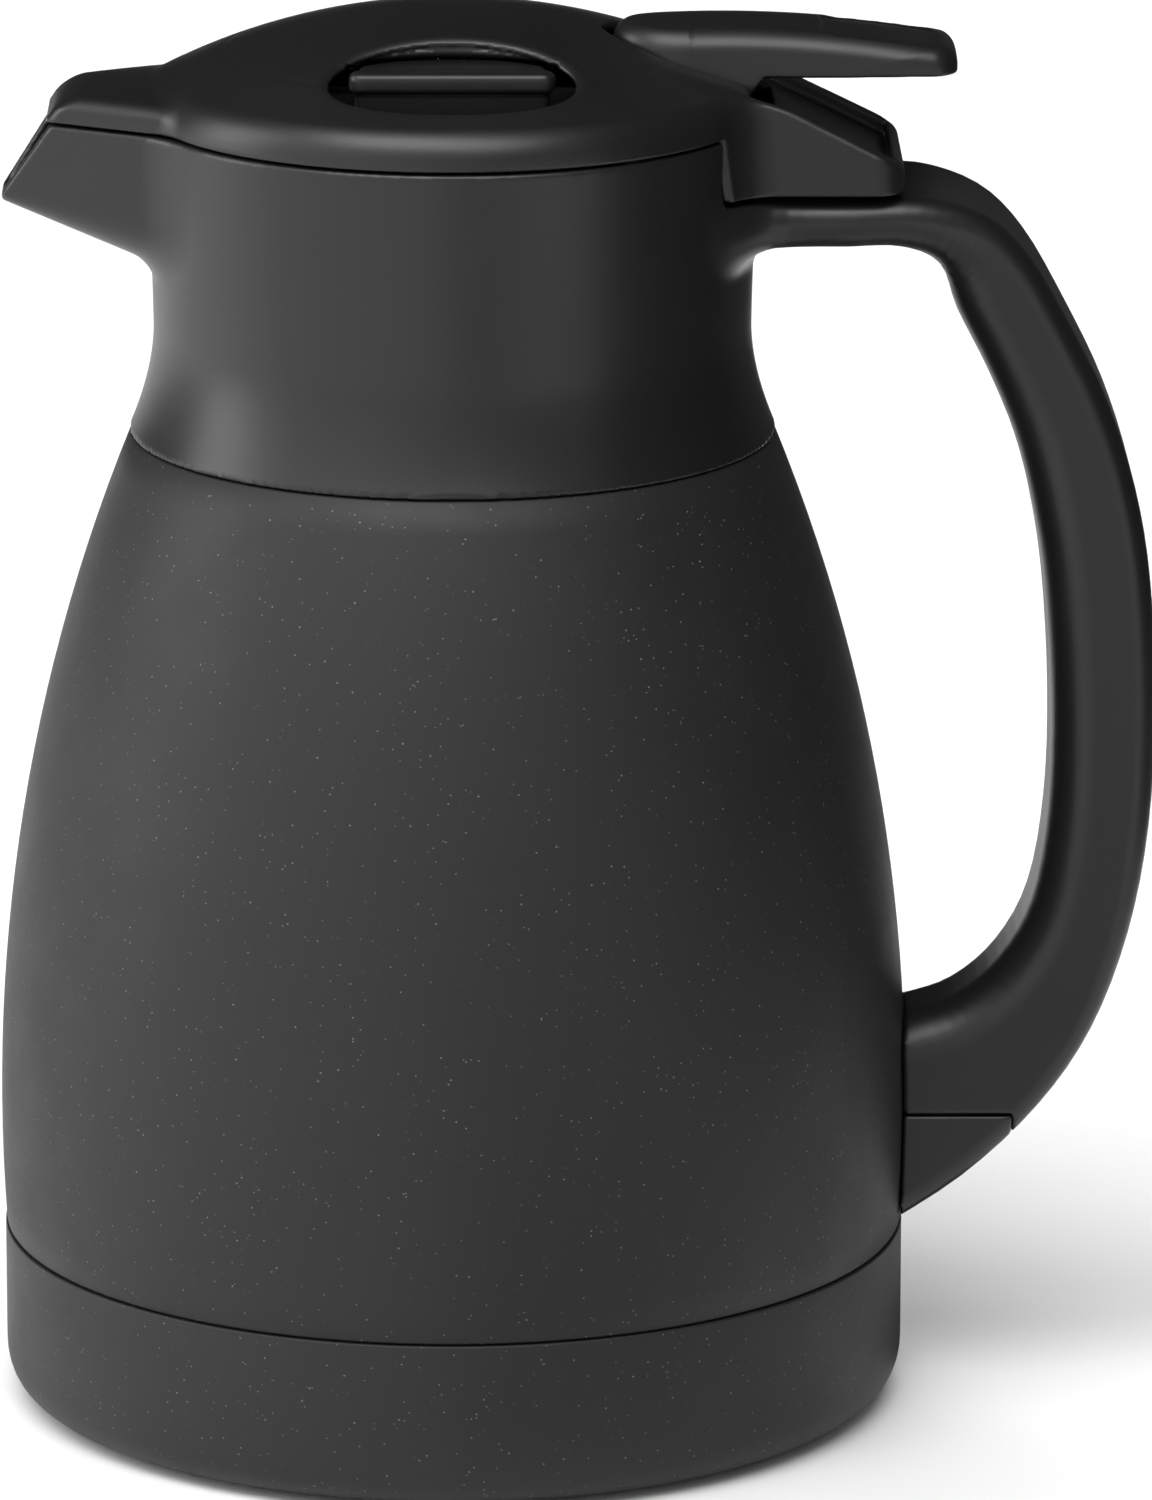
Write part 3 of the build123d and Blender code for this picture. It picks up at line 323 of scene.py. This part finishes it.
def moulded(node, distance, cell, margin=1.5):
    """Mesh of the surface where distance(x, y, z) is nought, in the room of a CAD node."""
    low, high = (np.array(corner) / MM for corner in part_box(node))
    axes = [
        np.arange(a - margin, b + margin + cell, cell, dtype=np.float32) for a, b in zip(low, high)
    ]
    x, y, z = np.ix_(*axes)
    field = np.broadcast_to(distance(x, y, z), [len(axis) for axis in axes])
    band = 3 * cell
    grid = openvdb.FloatGrid(band)
    grid.copyFromArray(np.ascontiguousarray(np.clip(field, -band, band), dtype=np.float32))
    points, _, quads = grid.convertToPolygons(isovalue=0.0, adaptivity=0.0)
    points = points * cell + np.array([axis[0] for axis in axes])
    # one step down the slope puts each point on the true surface
    x, y, z = points.T
    here = distance(x, y, z)
    step = 0.02
    slope = np.column_stack(
        (
            distance(x + step, y, z) - here,
            distance(x, y + step, z) - here,
            distance(x, y, z + step) - here,
        )
    ) / step
    steepness = np.maximum((slope**2).sum(axis=1), 0.2)
    move = -slope * (here / steepness)[:, None]
    length = np.maximum(np.linalg.norm(move, axis=1, keepdims=True), 1e-9)
    points = points + move * np.minimum(1, 0.5 * cell / length)
    return stand_for(node, points, quads[:, ::-1])


# ------------------------------------------------------------------ sizes, in millimetres
WIDEST_RADIUS = 72.1
WIDEST_Z = 47.2
SIDE_ARC = 290.0
BASE_SEAM_Z = 28.0
COLLAR_SEAM_Z = 156.6
CUP_RADIUS = 71.7
RIM_Z = 207.05
SEAM = 0.4
MOUTH_Z = 182.3
MOUTH_RADIUS = 36.4
GASKET_TOP_Z = 183.9
SHELF_Z = 186.4
COLLAR_BORE = 44.5
ARM_TOP_Z = 196.4
NOTCH_HALF = 23.2
COVER_TOP_Z = 47.2
COVER_REACH = 88.8
SPOUT_ROOT_X = -38.0
SPOUT_TIP_X = -70.4
DOME_CENTRE_Z = 122.1
DOME_RADIUS = 101.7
BLOCK_BOTTOM_Z = 197.4
LEVER_HALF = 10.8
LEVER_TIP_X = 78.6
LEVER_BOTTOM_Z = 206.9
PIVOT = (38.0, 209.8)
NOTCH_START_X = 34.0
POCKET_Y = 29.1
POCKET_SPLIT_Y = 29.4       # beyond it the pocket has its own wall, before it the button's room
ROOM_TOP_Z = 218.95
BUTTON_TOP_Z = 218.8
BAR_FRONT_Y = -28.7
PAWL_Z = 205.6


def side_radius(z, inset=0.0):
    """Radius of the bottle's side at a height, for a wall set in from the outside."""
    return WIDEST_RADIUS - SIDE_ARC + np.sqrt((SIDE_ARC - inset) ** 2 - (z - WIDEST_Z) ** 2)


def side_points(low, high, inset, count=28):
    return [(side_radius(z, inset), z, 0.0) for z in np.linspace(low, high, count)]


# ------------------------------------------------------------------ vessel
SHOULDER = (side_radius(COLLAR_SEAM_Z) - 2.0, COLLAR_SEAM_Z + 0.2)
turned(
    "outer_shell",
    [(69.8, 9.0, 0), (69.8, BASE_SEAM_Z + 0.1, 0.1)]
    + [(side_radius(28.2) - 0.25, 28.15, 0.0)]
    + side_points(28.5, COLLAR_SEAM_Z - 0.2, 0.0)
    + [
        (side_radius(COLLAR_SEAM_Z) - 0.3, COLLAR_SEAM_Z, 0.1),
        (*SHOULDER, 0.3),
        (39.6, 165.5, 1.0),
        (39.6, 181.6, 0.0),
        (38.9, 181.6, 0.0),
        (38.9, 165.2, 1.0),
        (SHOULDER[0] - 0.7, SHOULDER[1] - 0.7, 0.3),
    ]
    + side_points(COLLAR_SEAM_Z - 0.7, 28.9, 0.7)
    + [(69.1, BASE_SEAM_Z + 0.7, 0.1), (69.1, 9.0, 0.0)],
    segments=320,
)
turned(
    "base_cup",
    [
        (0.0, 3.1, 0),
        (64.7, 3.1, 1.0),
        (70.1, 8.0, 2.0),
        (70.1, BASE_SEAM_Z - 0.1, 0.1),
        (CUP_RADIUS, BASE_SEAM_Z - 0.1, 0.35),
        (CUP_RADIUS, 0.9, 9.0),
        (55.2, 0.9, 0.2),
        (55.2, 1.6, 0.0),
        (0.0, 1.6, 0.0),
    ],
    segments=320,
)
turned("foot_pad", [(0.0, 0.0, 0), (55.0, 0.0, 0.5), (55.0, 1.6, 0.2), (0.0, 1.6, 0)])
turned(
    "inner_vessel",
    [(0.0, 17.3, 0), (52.0, 17.3, 4.0), (63.5, 22.5, 5.0)]
    + side_points(31.0, 150.0, 4.9)
    + [
        (35.7, 163.5, 2.0),
        (35.7, 181.6, 0.0),
        (39.9, 181.6, 0.2),
        (39.9, MOUTH_Z, 0.2),
        (35.0, MOUTH_Z, 0.4),
        (35.0, 163.1, 2.0),
    ]
    + side_points(150.0, 31.0, 5.6)
    + [(63.0, 23.0, 5.0), (51.7, 18.0, 4.0), (0.0, 18.0, 0)],
    segments=256,
)
turned(
    "collar_gasket",
    [
        (MOUTH_RADIUS, MOUTH_Z, 0.3),
        (39.6, MOUTH_Z, 0.3),
        (39.6, GASKET_TOP_Z, 0.3),
        (MOUTH_RADIUS, GASKET_TOP_Z, 0.3),
    ],
)


# ------------------------------------------------------------------ collar, spout and handle
def neck_radius(z):
    flare = 0.027 * np.maximum(173.4 - z, 0.0) ** 1.78
    return 46.9 + flare + 1.1 * (np.maximum(z - 174.0, 0.0) / 33.0) ** 1.3


def spout_half(x):
    share = (x - SPOUT_ROOT_X) / (SPOUT_TIP_X - SPOUT_ROOT_X)
    return 23.0 - 18.4 * share


def trough(x, y, z, inset):
    """Inside of the spout's flanks and keel, set in by inset."""
    share = (x - SPOUT_ROOT_X) / (SPOUT_TIP_X - SPOUT_ROOT_X)
    half = spout_half(x) - inset
    flank = 0.87 * (np.abs(y) - half + 0.05 * (RIM_Z - z))
    keel = 0.93 * (182.0 + 11.7 * share + inset - z)
    return round_max(flank, keel, np.clip(0.45 * half, 0.6, 9.0))


HANDLE_OUTER = [
    (30.0, ARM_TOP_Z), (41.5, ARM_TOP_Z), (52.0, ARM_TOP_Z), (62.0, ARM_TOP_Z), (73.0, 196.4),
    (82.8, 193.3), (89.9, 186.5), (96.8, 174.6), (102.6, 162.6), (107.0, 149.0), (109.6, 134.0),
    (110.7, 114.0), (109.9, 94.0), (106.9, 76.6), (101.3, 60.8), (93.0, 48.0), (81.0, 36.2),
    (66.0, 26.2), (58.0, 21.0),
]
HANDLE_INNER = [
    (30.0, 188.6), (41.5, 188.6), (52.0, 188.6), (61.0, 188.6), (69.8, 188.4), (75.9, 185.2),
    (78.8, 177.4), (83.6, 167.8), (88.0, 157.2), (91.0, 145.6), (93.2, 132.0), (94.4, 113.0),
    (94.0, 95.5), (91.6, 81.0), (86.6, 71.4), (79.6, 65.2), (71.5, 62.4), (62.0, 60.6),
    (54.0, 59.0),
]
HANDLE_HALF = [
    22.4, 22.2, 18.4, 18.0, 17.2, 15.4, 14.3, 13.4, 12.9, 12.9, 12.9, 12.9, 12.8, 12.5, 12.1,
    11.8, 11.6, 11.6, 11.6,
]


def smooth_line(points, steps=4):
    """Catmull-Rom curve through the points."""
    points = np.array(points, float)
    line = []
    for k in range(len(points) - 1):
        a = points[max(k - 1, 0)]
        b, c = points[k], points[k + 1]
        d = points[min(k + 2, len(points) - 1)]
        for t in np.arange(steps) / steps:
            line.append(
                0.5 * (2 * b + (c - a) * t + (2 * a - 5 * b + 4 * c - d) * t**2
                       + (3 * b - a - 3 * c + d) * t**3)
            )
    return np.array(line + [points[-1]])


def beside(x, z, line):
    """Distance to the left of a line in the X-Z plane, and the nearest point's place on it."""
    nearest = np.float32(1e9)
    left = 0.0
    along = 0.0
    for k, (a, b) in enumerate(zip(line[:-1], line[1:])):
        ex, ez = b - a
        t = np.clip(((x - a[0]) * ex + (z - a[1]) * ez) / (ex**2 + ez**2), 0, 1)
        gap = (x - a[0] - t * ex) ** 2 + (z - a[1] - t * ez) ** 2
        side = np.sign(ex * (z - a[1]) - ez * (x - a[0]))
        closer = gap < nearest
        left = np.where(closer, side, left)
        along = np.where(closer, k + t, along)
        nearest = np.where(closer, gap, nearest)
    return left * np.sqrt(nearest), along


OUTER_LINE = smooth_line(HANDLE_OUTER)
INNER_LINE = smooth_line(HANDLE_INNER)
HALF_LINE = smooth_line([(h, 0.0) for h in HANDLE_HALF])[:, 0]


def handle(x, y, z):
    """Arm, grip and foot: flat outside face, well rounded inside face."""
    outside, along = beside(x, z, OUTER_LINE)
    inside, _ = beside(x, z, INNER_LINE)
    half = np.interp(along, np.arange(len(HALF_LINE)), HALF_LINE)
    inner_round = np.interp(along, [0, 12, 24, 66], [4.0, 4.5, 7.2, 7.2])
    section = round_max(np.abs(y) - half, outside, 3.6)
    return np.maximum(round_max(section, -inside, inner_round), 38.0 - x)


def off_the_shell(x, y, z):
    """Outside of the bottle's side, with a hair's breadth of air."""
    return side_radius(np.clip(z, 0, 160)) + 0.25 - np.hypot(x, y)


def collar_and_handle(x, y, z):
    r = np.hypot(x, y)
    ring = round_max(r - neck_radius(z), COLLAR_SEAM_Z + 0.3 - z, 0.35)
    spout = np.maximum(trough(x, y, z, 0.0), x + 30.0)
    mouth = -0.831 * (x + 62.4) + 0.556 * (z - RIM_Z)
    spout = round_max(spout, np.maximum(mouth, SPOUT_TIP_X - x), 0.5)
    grip = np.maximum(handle(x, y, z), off_the_shell(x, y, z) - np.maximum(z - 90.0, 0) * 9)
    over_cover = np.maximum(x - COVER_REACH, z - COVER_TOP_Z)
    grip = cut(grip, over_cover, 0.35)
    whole = round_min(round_min(ring, spout, 3.5), grip, 5.5)
    whole = round_max(whole, z - RIM_Z + SEAM / 2, 0.45)
    notch = np.maximum(np.maximum(np.abs(y) - NOTCH_HALF, NOTCH_START_X - x), ARM_TOP_Z - z)
    whole = cut(whole, notch, 0.35)
    skirt = r - np.interp(z, [156.9, 165.0, 168.0, 183.9], [49.3, 45.4, 44.2, 44.2])
    bore = np.minimum(np.maximum(skirt, z - GASKET_TOP_Z), r - MOUTH_RADIUS)
    bore = np.minimum(bore, np.maximum(r - COLLAR_BORE, SHELF_Z - z))
    whole = cut(whole, bore, 0.4)
    channel = np.maximum(np.maximum(trough(x, y, z, 2.2), SHELF_Z - z), x + 33.0)
    groove = np.maximum(np.maximum(np.abs(x) - 9.0, slab(np.abs(y), 40.0, 45.6)), 204.0 - z)
    return np.maximum(cut(whole, channel, 0.6), -groove)


moulded("collar_handle", collar_and_handle, cell=0.6)


def end_cover(x, y, z):
    top = np.maximum(z - COVER_TOP_Z + SEAM, x - COVER_REACH + 0.08)
    skin = round_max(np.maximum(handle(x, y, z), off_the_shell(x, y, z)), top, 0.35)
    room = np.maximum(np.maximum(np.abs(y) - 9.0, x - 85.2), 35.0 - z + 0.5 * (x - 70.0))
    return np.maximum(skin, -room)


moulded("bracket_cover", end_cover, cell=0.4)


# ------------------------------------------------------------------ lid
def lever_outline(x, y):
    nose = ellipse(x - 37.0, y, 37.0 - 24.0, LEVER_HALF)
    return np.where(x < 37.0, nose, np.abs(y) - LEVER_HALF)


def pocket_outline(x, y):
    return ellipse(x, np.abs(y) - POCKET_Y, 18.7, 11.0)


def lid_outside(x, y, z):
    """Dome, skirt, flap over the spout and block behind the lever, one solid."""
    r = np.hypot(x, y)
    dome = np.sqrt(x**2 + y**2 + (z - DOME_CENTRE_Z) ** 2) - DOME_RADIUS
    dome = dome + 0.10 * np.exp(-(((r - 35.8) / 0.45) ** 2))
    cap = round_max(dome, r - 48.0 + 0.11 * (z - RIM_Z), 2.6)
    crown = 0.98 * (z - 213.0 - 0.075 * (x + 46.0) + 0.0055 * y**2)
    nose = -0.824 * (x + 63.6) + 0.567 * (z - RIM_Z)
    lean = 0.5 * np.maximum(z - 209.6, 0.0)
    flank = 0.82 * (np.abs(y) - spout_half(x) + lean)
    flap = round_max(round_max(crown, nose, 2.6), flank, 1.3)
    flap = np.maximum(flap, x + 30.0)
    slope = 0.445 * (x - 49.5) + 0.895 * (z - 212.2)
    top = round_max(slope, z - 213.0, 3.0)
    side = np.abs(y) - 18.7 + 0.14 * (z - BLOCK_BOTTOM_Z)
    plan = round_max(side, x - 70.2, 4.5)
    block = np.maximum(round_max(plan, top, 1.2), NOTCH_START_X - x)
    walls = np.maximum(np.abs(y) - 15.6, slab(x, 46.0, 68.3))
    recess = np.maximum(walls, -(slope + 2.4))
    return round_min(round_min(cap, flap, 1.6), block, 5.0), recess, slope


def lid(x, y, z):
    outside, recess, slope = lid_outside(x, y, z)
    notch = np.maximum(np.abs(y) - NOTCH_HALF + SEAM, NOTCH_START_X - x)
    notch = np.maximum(notch, BLOCK_BOTTOM_Z - z)
    below = np.minimum(RIM_Z + SEAM / 2 - z, notch)
    shell = round_max(outside, below, 0.4)
    shell = cut(shell, recess, 0.5)
    # hollow inside, with a floor under the block
    hollow = np.maximum(np.maximum(outside + 1.8, slope + 4.4), np.minimum(200.5 - z, x - 44.6))
    shell = np.maximum(shell, -hollow)
    pocket = pocket_outline(x, y)
    under_skin = outside + 1.0
    past_split = np.abs(y) - POCKET_SPLIT_Y
    basin = np.maximum(np.maximum(pocket - 1.4, -past_split), np.maximum(208.3 - z, under_skin))
    brow = np.maximum(np.maximum(pocket - 4.5, past_split), np.maximum(ROOM_TOP_Z - z, under_skin))
    shell = np.minimum(shell, np.minimum(basin, brow))
    shell = cut(shell, np.maximum(pocket, 209.8 - z), 1.8)
    room = np.maximum(ellipse(x, np.abs(y) - 23.5, 16.4, 12.5), slab(z, 208.0, ROOM_TOP_Z))
    shell = np.maximum(shell, -np.maximum(room, past_split))
    slot = np.maximum(lever_outline(x, y) - 0.7, x - 50.0)
    shell = cut(shell, slot, 0.5)
    cheek = np.maximum(slab(np.abs(y), 11.6, 14.2), np.maximum(slab(x, 34.5, 41.5), 206.8 - z))
    return np.minimum(shell, np.maximum(cheek, under_skin))


moulded("lid_cover", lid, cell=0.45)


def lever(x, y, z):
    top = z - 222.6 + 0.0026 * (x - 42.0) ** 2 + 0.014 * y**2
    flank = 0.98 * (lever_outline(x, y) + 0.19 * np.maximum(z - 213.5, 0.0))
    tip = round_max(np.abs(y) - LEVER_HALF + 0.06 * (x - 58.0), x - LEVER_TIP_X, 4.0)
    solid = round_max(np.maximum(flank, tip), top, 2.6)
    dish = round_max(np.abs(y) - 7.4, slab(x, 57.5, 75.0), 3.0)
    solid = cut(solid, np.maximum(dish, -top - 0.55), 0.5)
    thumb = 214.5 - z
    rise = z - LEVER_BOTTOM_Z
    body = np.maximum(-rise, 0.82 * (x - 43.0 - 0.704 * rise))
    solid = round_max(solid, np.minimum(thumb, body), 0.6)
    hollow = np.maximum(np.abs(y) - 8.4, np.maximum(slab(x, 50.0, 76.0), top + 2.4))
    solid = np.maximum(solid, -hollow)
    tongue = np.maximum(np.abs(y) - 7.0, np.maximum(slab(z, 206.4, 209.3), slab(x, 5.0, 34.0)))
    fork = np.maximum(np.abs(y) - 4.4, x - 13.0)
    solid = np.minimum(solid, np.maximum(tongue, -fork))
    bore = np.hypot(x - PIVOT[0], z - PIVOT[1]) - 1.55
    return np.maximum(solid, -bore)


moulded("lever", lever, cell=0.4)


def button(x, y, z):
    """Latch button with its front towards -Y."""
    bar = round_max(np.abs(x) - 15.9, slab(y, BAR_FRONT_Y, -24.4), 2.1)
    inner = np.hypot(x, y + 34.85) - 19.45
    plate = np.maximum(np.maximum(inner, np.abs(x) - 14.5), -25.6 - y)
    plate = round_max(np.minimum(bar, plate), z - BUTTON_TOP_Z, 1.2)
    plate = np.maximum(plate, np.where(y < -24.6, 215.9, 216.6) - z)
    wall = round_max(np.abs(x) - 15.0, slab(y, -27.9, -25.7), 1.0)
    wall = np.maximum(wall, slab(z, 209.0, 217.0))
    arm = np.maximum(np.abs(x) - 6.5, slab(y, -27.4, -25.4))
    arm = np.maximum(arm, slab(z, PAWL_Z, 209.4))
    pawl = np.maximum(np.abs(x) - 6.5, np.maximum(slab(y, -43.4, -25.4), slab(z, PAWL_Z, 207.1)))
    return np.minimum(round_min(plate, wall, 0.8), np.minimum(arm, pawl))


moulded("button_front", button, cell=0.35)
moulded("button_back", lambda x, y, z: button(x, -y, z), cell=0.35)

# ------------------------------------------------------------------ studio
def area_light(name, place, target, size_x, size_y, power):
    data = bpy.data.lights.new(name, "AREA")
    data.shape = "RECTANGLE"
    data.size = size_x
    data.size_y = size_y
    data.energy = power
    lamp = bpy.data.objects.new(name, data)
    bpy.context.collection.objects.link(lamp)
    lamp.location = place
    lamp.rotation_euler = (Vector(target) - Vector(place)).to_track_quat("-Z", "Y").to_euler()
    return lamp


def paper(name, vertices, faces, shade, specular):
    """Piece of matte studio paper."""
    mesh = bpy.data.meshes.new(name)
    mesh.from_pydata(vertices, [], faces)
    mesh.polygons.foreach_set("use_smooth", [True] * len(faces))
    sheet = bpy.data.objects.new(name, mesh)
    bpy.context.collection.objects.link(sheet)
    matte = Shader(name + "_paper")
    matte.set(Roughness=0.9, Base_Color=(shade, shade, shade, 1), Specular_IOR_Level=specular)
    mesh.materials.append(matte.material)
    return sheet


def backdrop(name, rows, half):
    """Pale sheet, as wide as 2 x half, running through the (y, z) rows."""
    vertices = [(x, y, z) for y, z in rows for x in (-half, half)]
    faces = [(2 * k, 2 * k + 1, 2 * k + 3, 2 * k + 2) for k in range(len(rows) - 1)]
    return paper(name, vertices, faces, 0.88, 0.2)


def card(name, corners, shade):
    """Dark studio card that only the gloss of the carafe mirrors."""
    sheet = paper(name, corners, [(0, 1, 2, 3)], shade, 0.5)
    sheet.visible_camera = False
    sheet.visible_diffuse = False
    sheet.visible_shadow = False


def floor_card(name, near, far, near_y, far_y, shade):
    """Card on the floor between two pairs of x, one at near_y and one at far_y."""
    ends = ((near[0], near_y), (near[1], near_y), (far[1], far_y), (far[0], far_y))
    card(name, [(x, y, CARD_LIFT) for x, y in ends], shade)


CARD_LIFT = 0.0008
backdrop("floor", [(-5.0, 0.0), (5.0, 0.0)], 5.0)
# beside the handle, on the floor under it, and on the floor in front
side = ((0.34, -0.25), (0.20, 1.10))
card(
    "card_side",
    [(*side[0], 0.0), (*side[1], 0.0), (*side[1], 0.7), (*side[0], 0.7)],
    0.02,
)
floor_card("card_under", (0.060, 0.104), (0.03, 0.115), 0.0, 0.6, 0.02)
floor_card("card_front", (0.0, 0.17), (0.0, 0.34), -0.09, -1.6, 0.42)
# a curved wall far behind closes the view; the carafe's gloss doesn't mirror it
CURVE = [math.pi / 2 * k / 16 for k in range(17)]
wall = backdrop(
    "wall",
    [(4.9 + 2.0 * math.sin(a), 2.0 - 2.0 * math.cos(a)) for a in CURVE] + [(6.9, 6.0)],
    9.0,
)
wall.visible_glossy = False


def sky():
    """Soft light from the camera's side and the left, with a dark ceiling behind the carafe."""
    world = bpy.data.worlds.new("studio")
    world.use_nodes = True
    tree = world.node_tree
    way = tree.nodes.new("ShaderNodeTexCoord").outputs["Generated"]
    split = tree.nodes.new("ShaderNodeSeparateXYZ")
    tree.links.new(way, split.inputs["Vector"])

    def ramp(axis, start, end, low, high):
        made = tree.nodes.new("ShaderNodeMapRange")
        made.interpolation_type = "SMOOTHSTEP"
        tree.links.new(split.outputs[axis], made.inputs["Value"])
        sockets = ("From Min", "From Max", "To Min", "To Max")
        for name, value in zip(sockets, (start, end, low, high)):
            made.inputs[name].default_value = value
        return made.outputs["Result"]

    def times(first, second):
        made = tree.nodes.new("ShaderNodeMath")
        made.operation = "MULTIPLY"
        tree.links.new(first, made.inputs[0])
        tree.links.new(second, made.inputs[1])
        return made.outputs["Value"]

    strength = times(ramp("Y", -0.25, 0.25, 1.0, 0.03), ramp("X", -0.7, 0.4, 1.35, 0.42))
    tree.links.new(strength, tree.nodes["Background"].inputs["Strength"])
    tree.nodes["Background"].inputs["Color"].default_value = (*WHITE, 1)
    bpy.context.scene.world = world


sky()
TARGET = (0.0, 0.0, 0.11)
area_light("top_front", (-0.3, -1.3, 2.2), (0.0, -0.1, 0.0), 2.6, 1.2, 56.0)
area_light("left", (-1.7, 0.1, 0.7), TARGET, 0.7, 1.3, 14.0)
floor_back = area_light("floor_back", (0.0, 2.6, 2.6), (0.0, 1.4, 0.0), 3.0, 1.0, 55.0)
floor_back.visible_glossy = False


# ------------------------------------------------------------------ camera
CAMERA_DISTANCE = 1.730
AIM = Vector((0.0, 0.0, 0.1078))
PITCH = math.radians(14.59)
camera_data = bpy.data.cameras.new("camera")
camera_data.sensor_fit = "VERTICAL"
camera_data.sensor_height = 36.0
camera_data.lens = 262.0
camera_data.clip_end = 50.0
camera = bpy.data.objects.new("camera", camera_data)
bpy.context.collection.objects.link(camera)
camera.location = AIM + CAMERA_DISTANCE * Vector((0.0, -math.cos(PITCH), math.sin(PITCH)))
LOOK_DOWN = PITCH + math.radians(0.117)
camera.rotation_euler = Euler(
    (math.pi / 2 - LOOK_DOWN, math.radians(-0.085), math.radians(-0.644)), "XYZ"
)
bpy.context.scene.camera = camera
bpy.context.scene.view_settings.view_transform = "Standard"
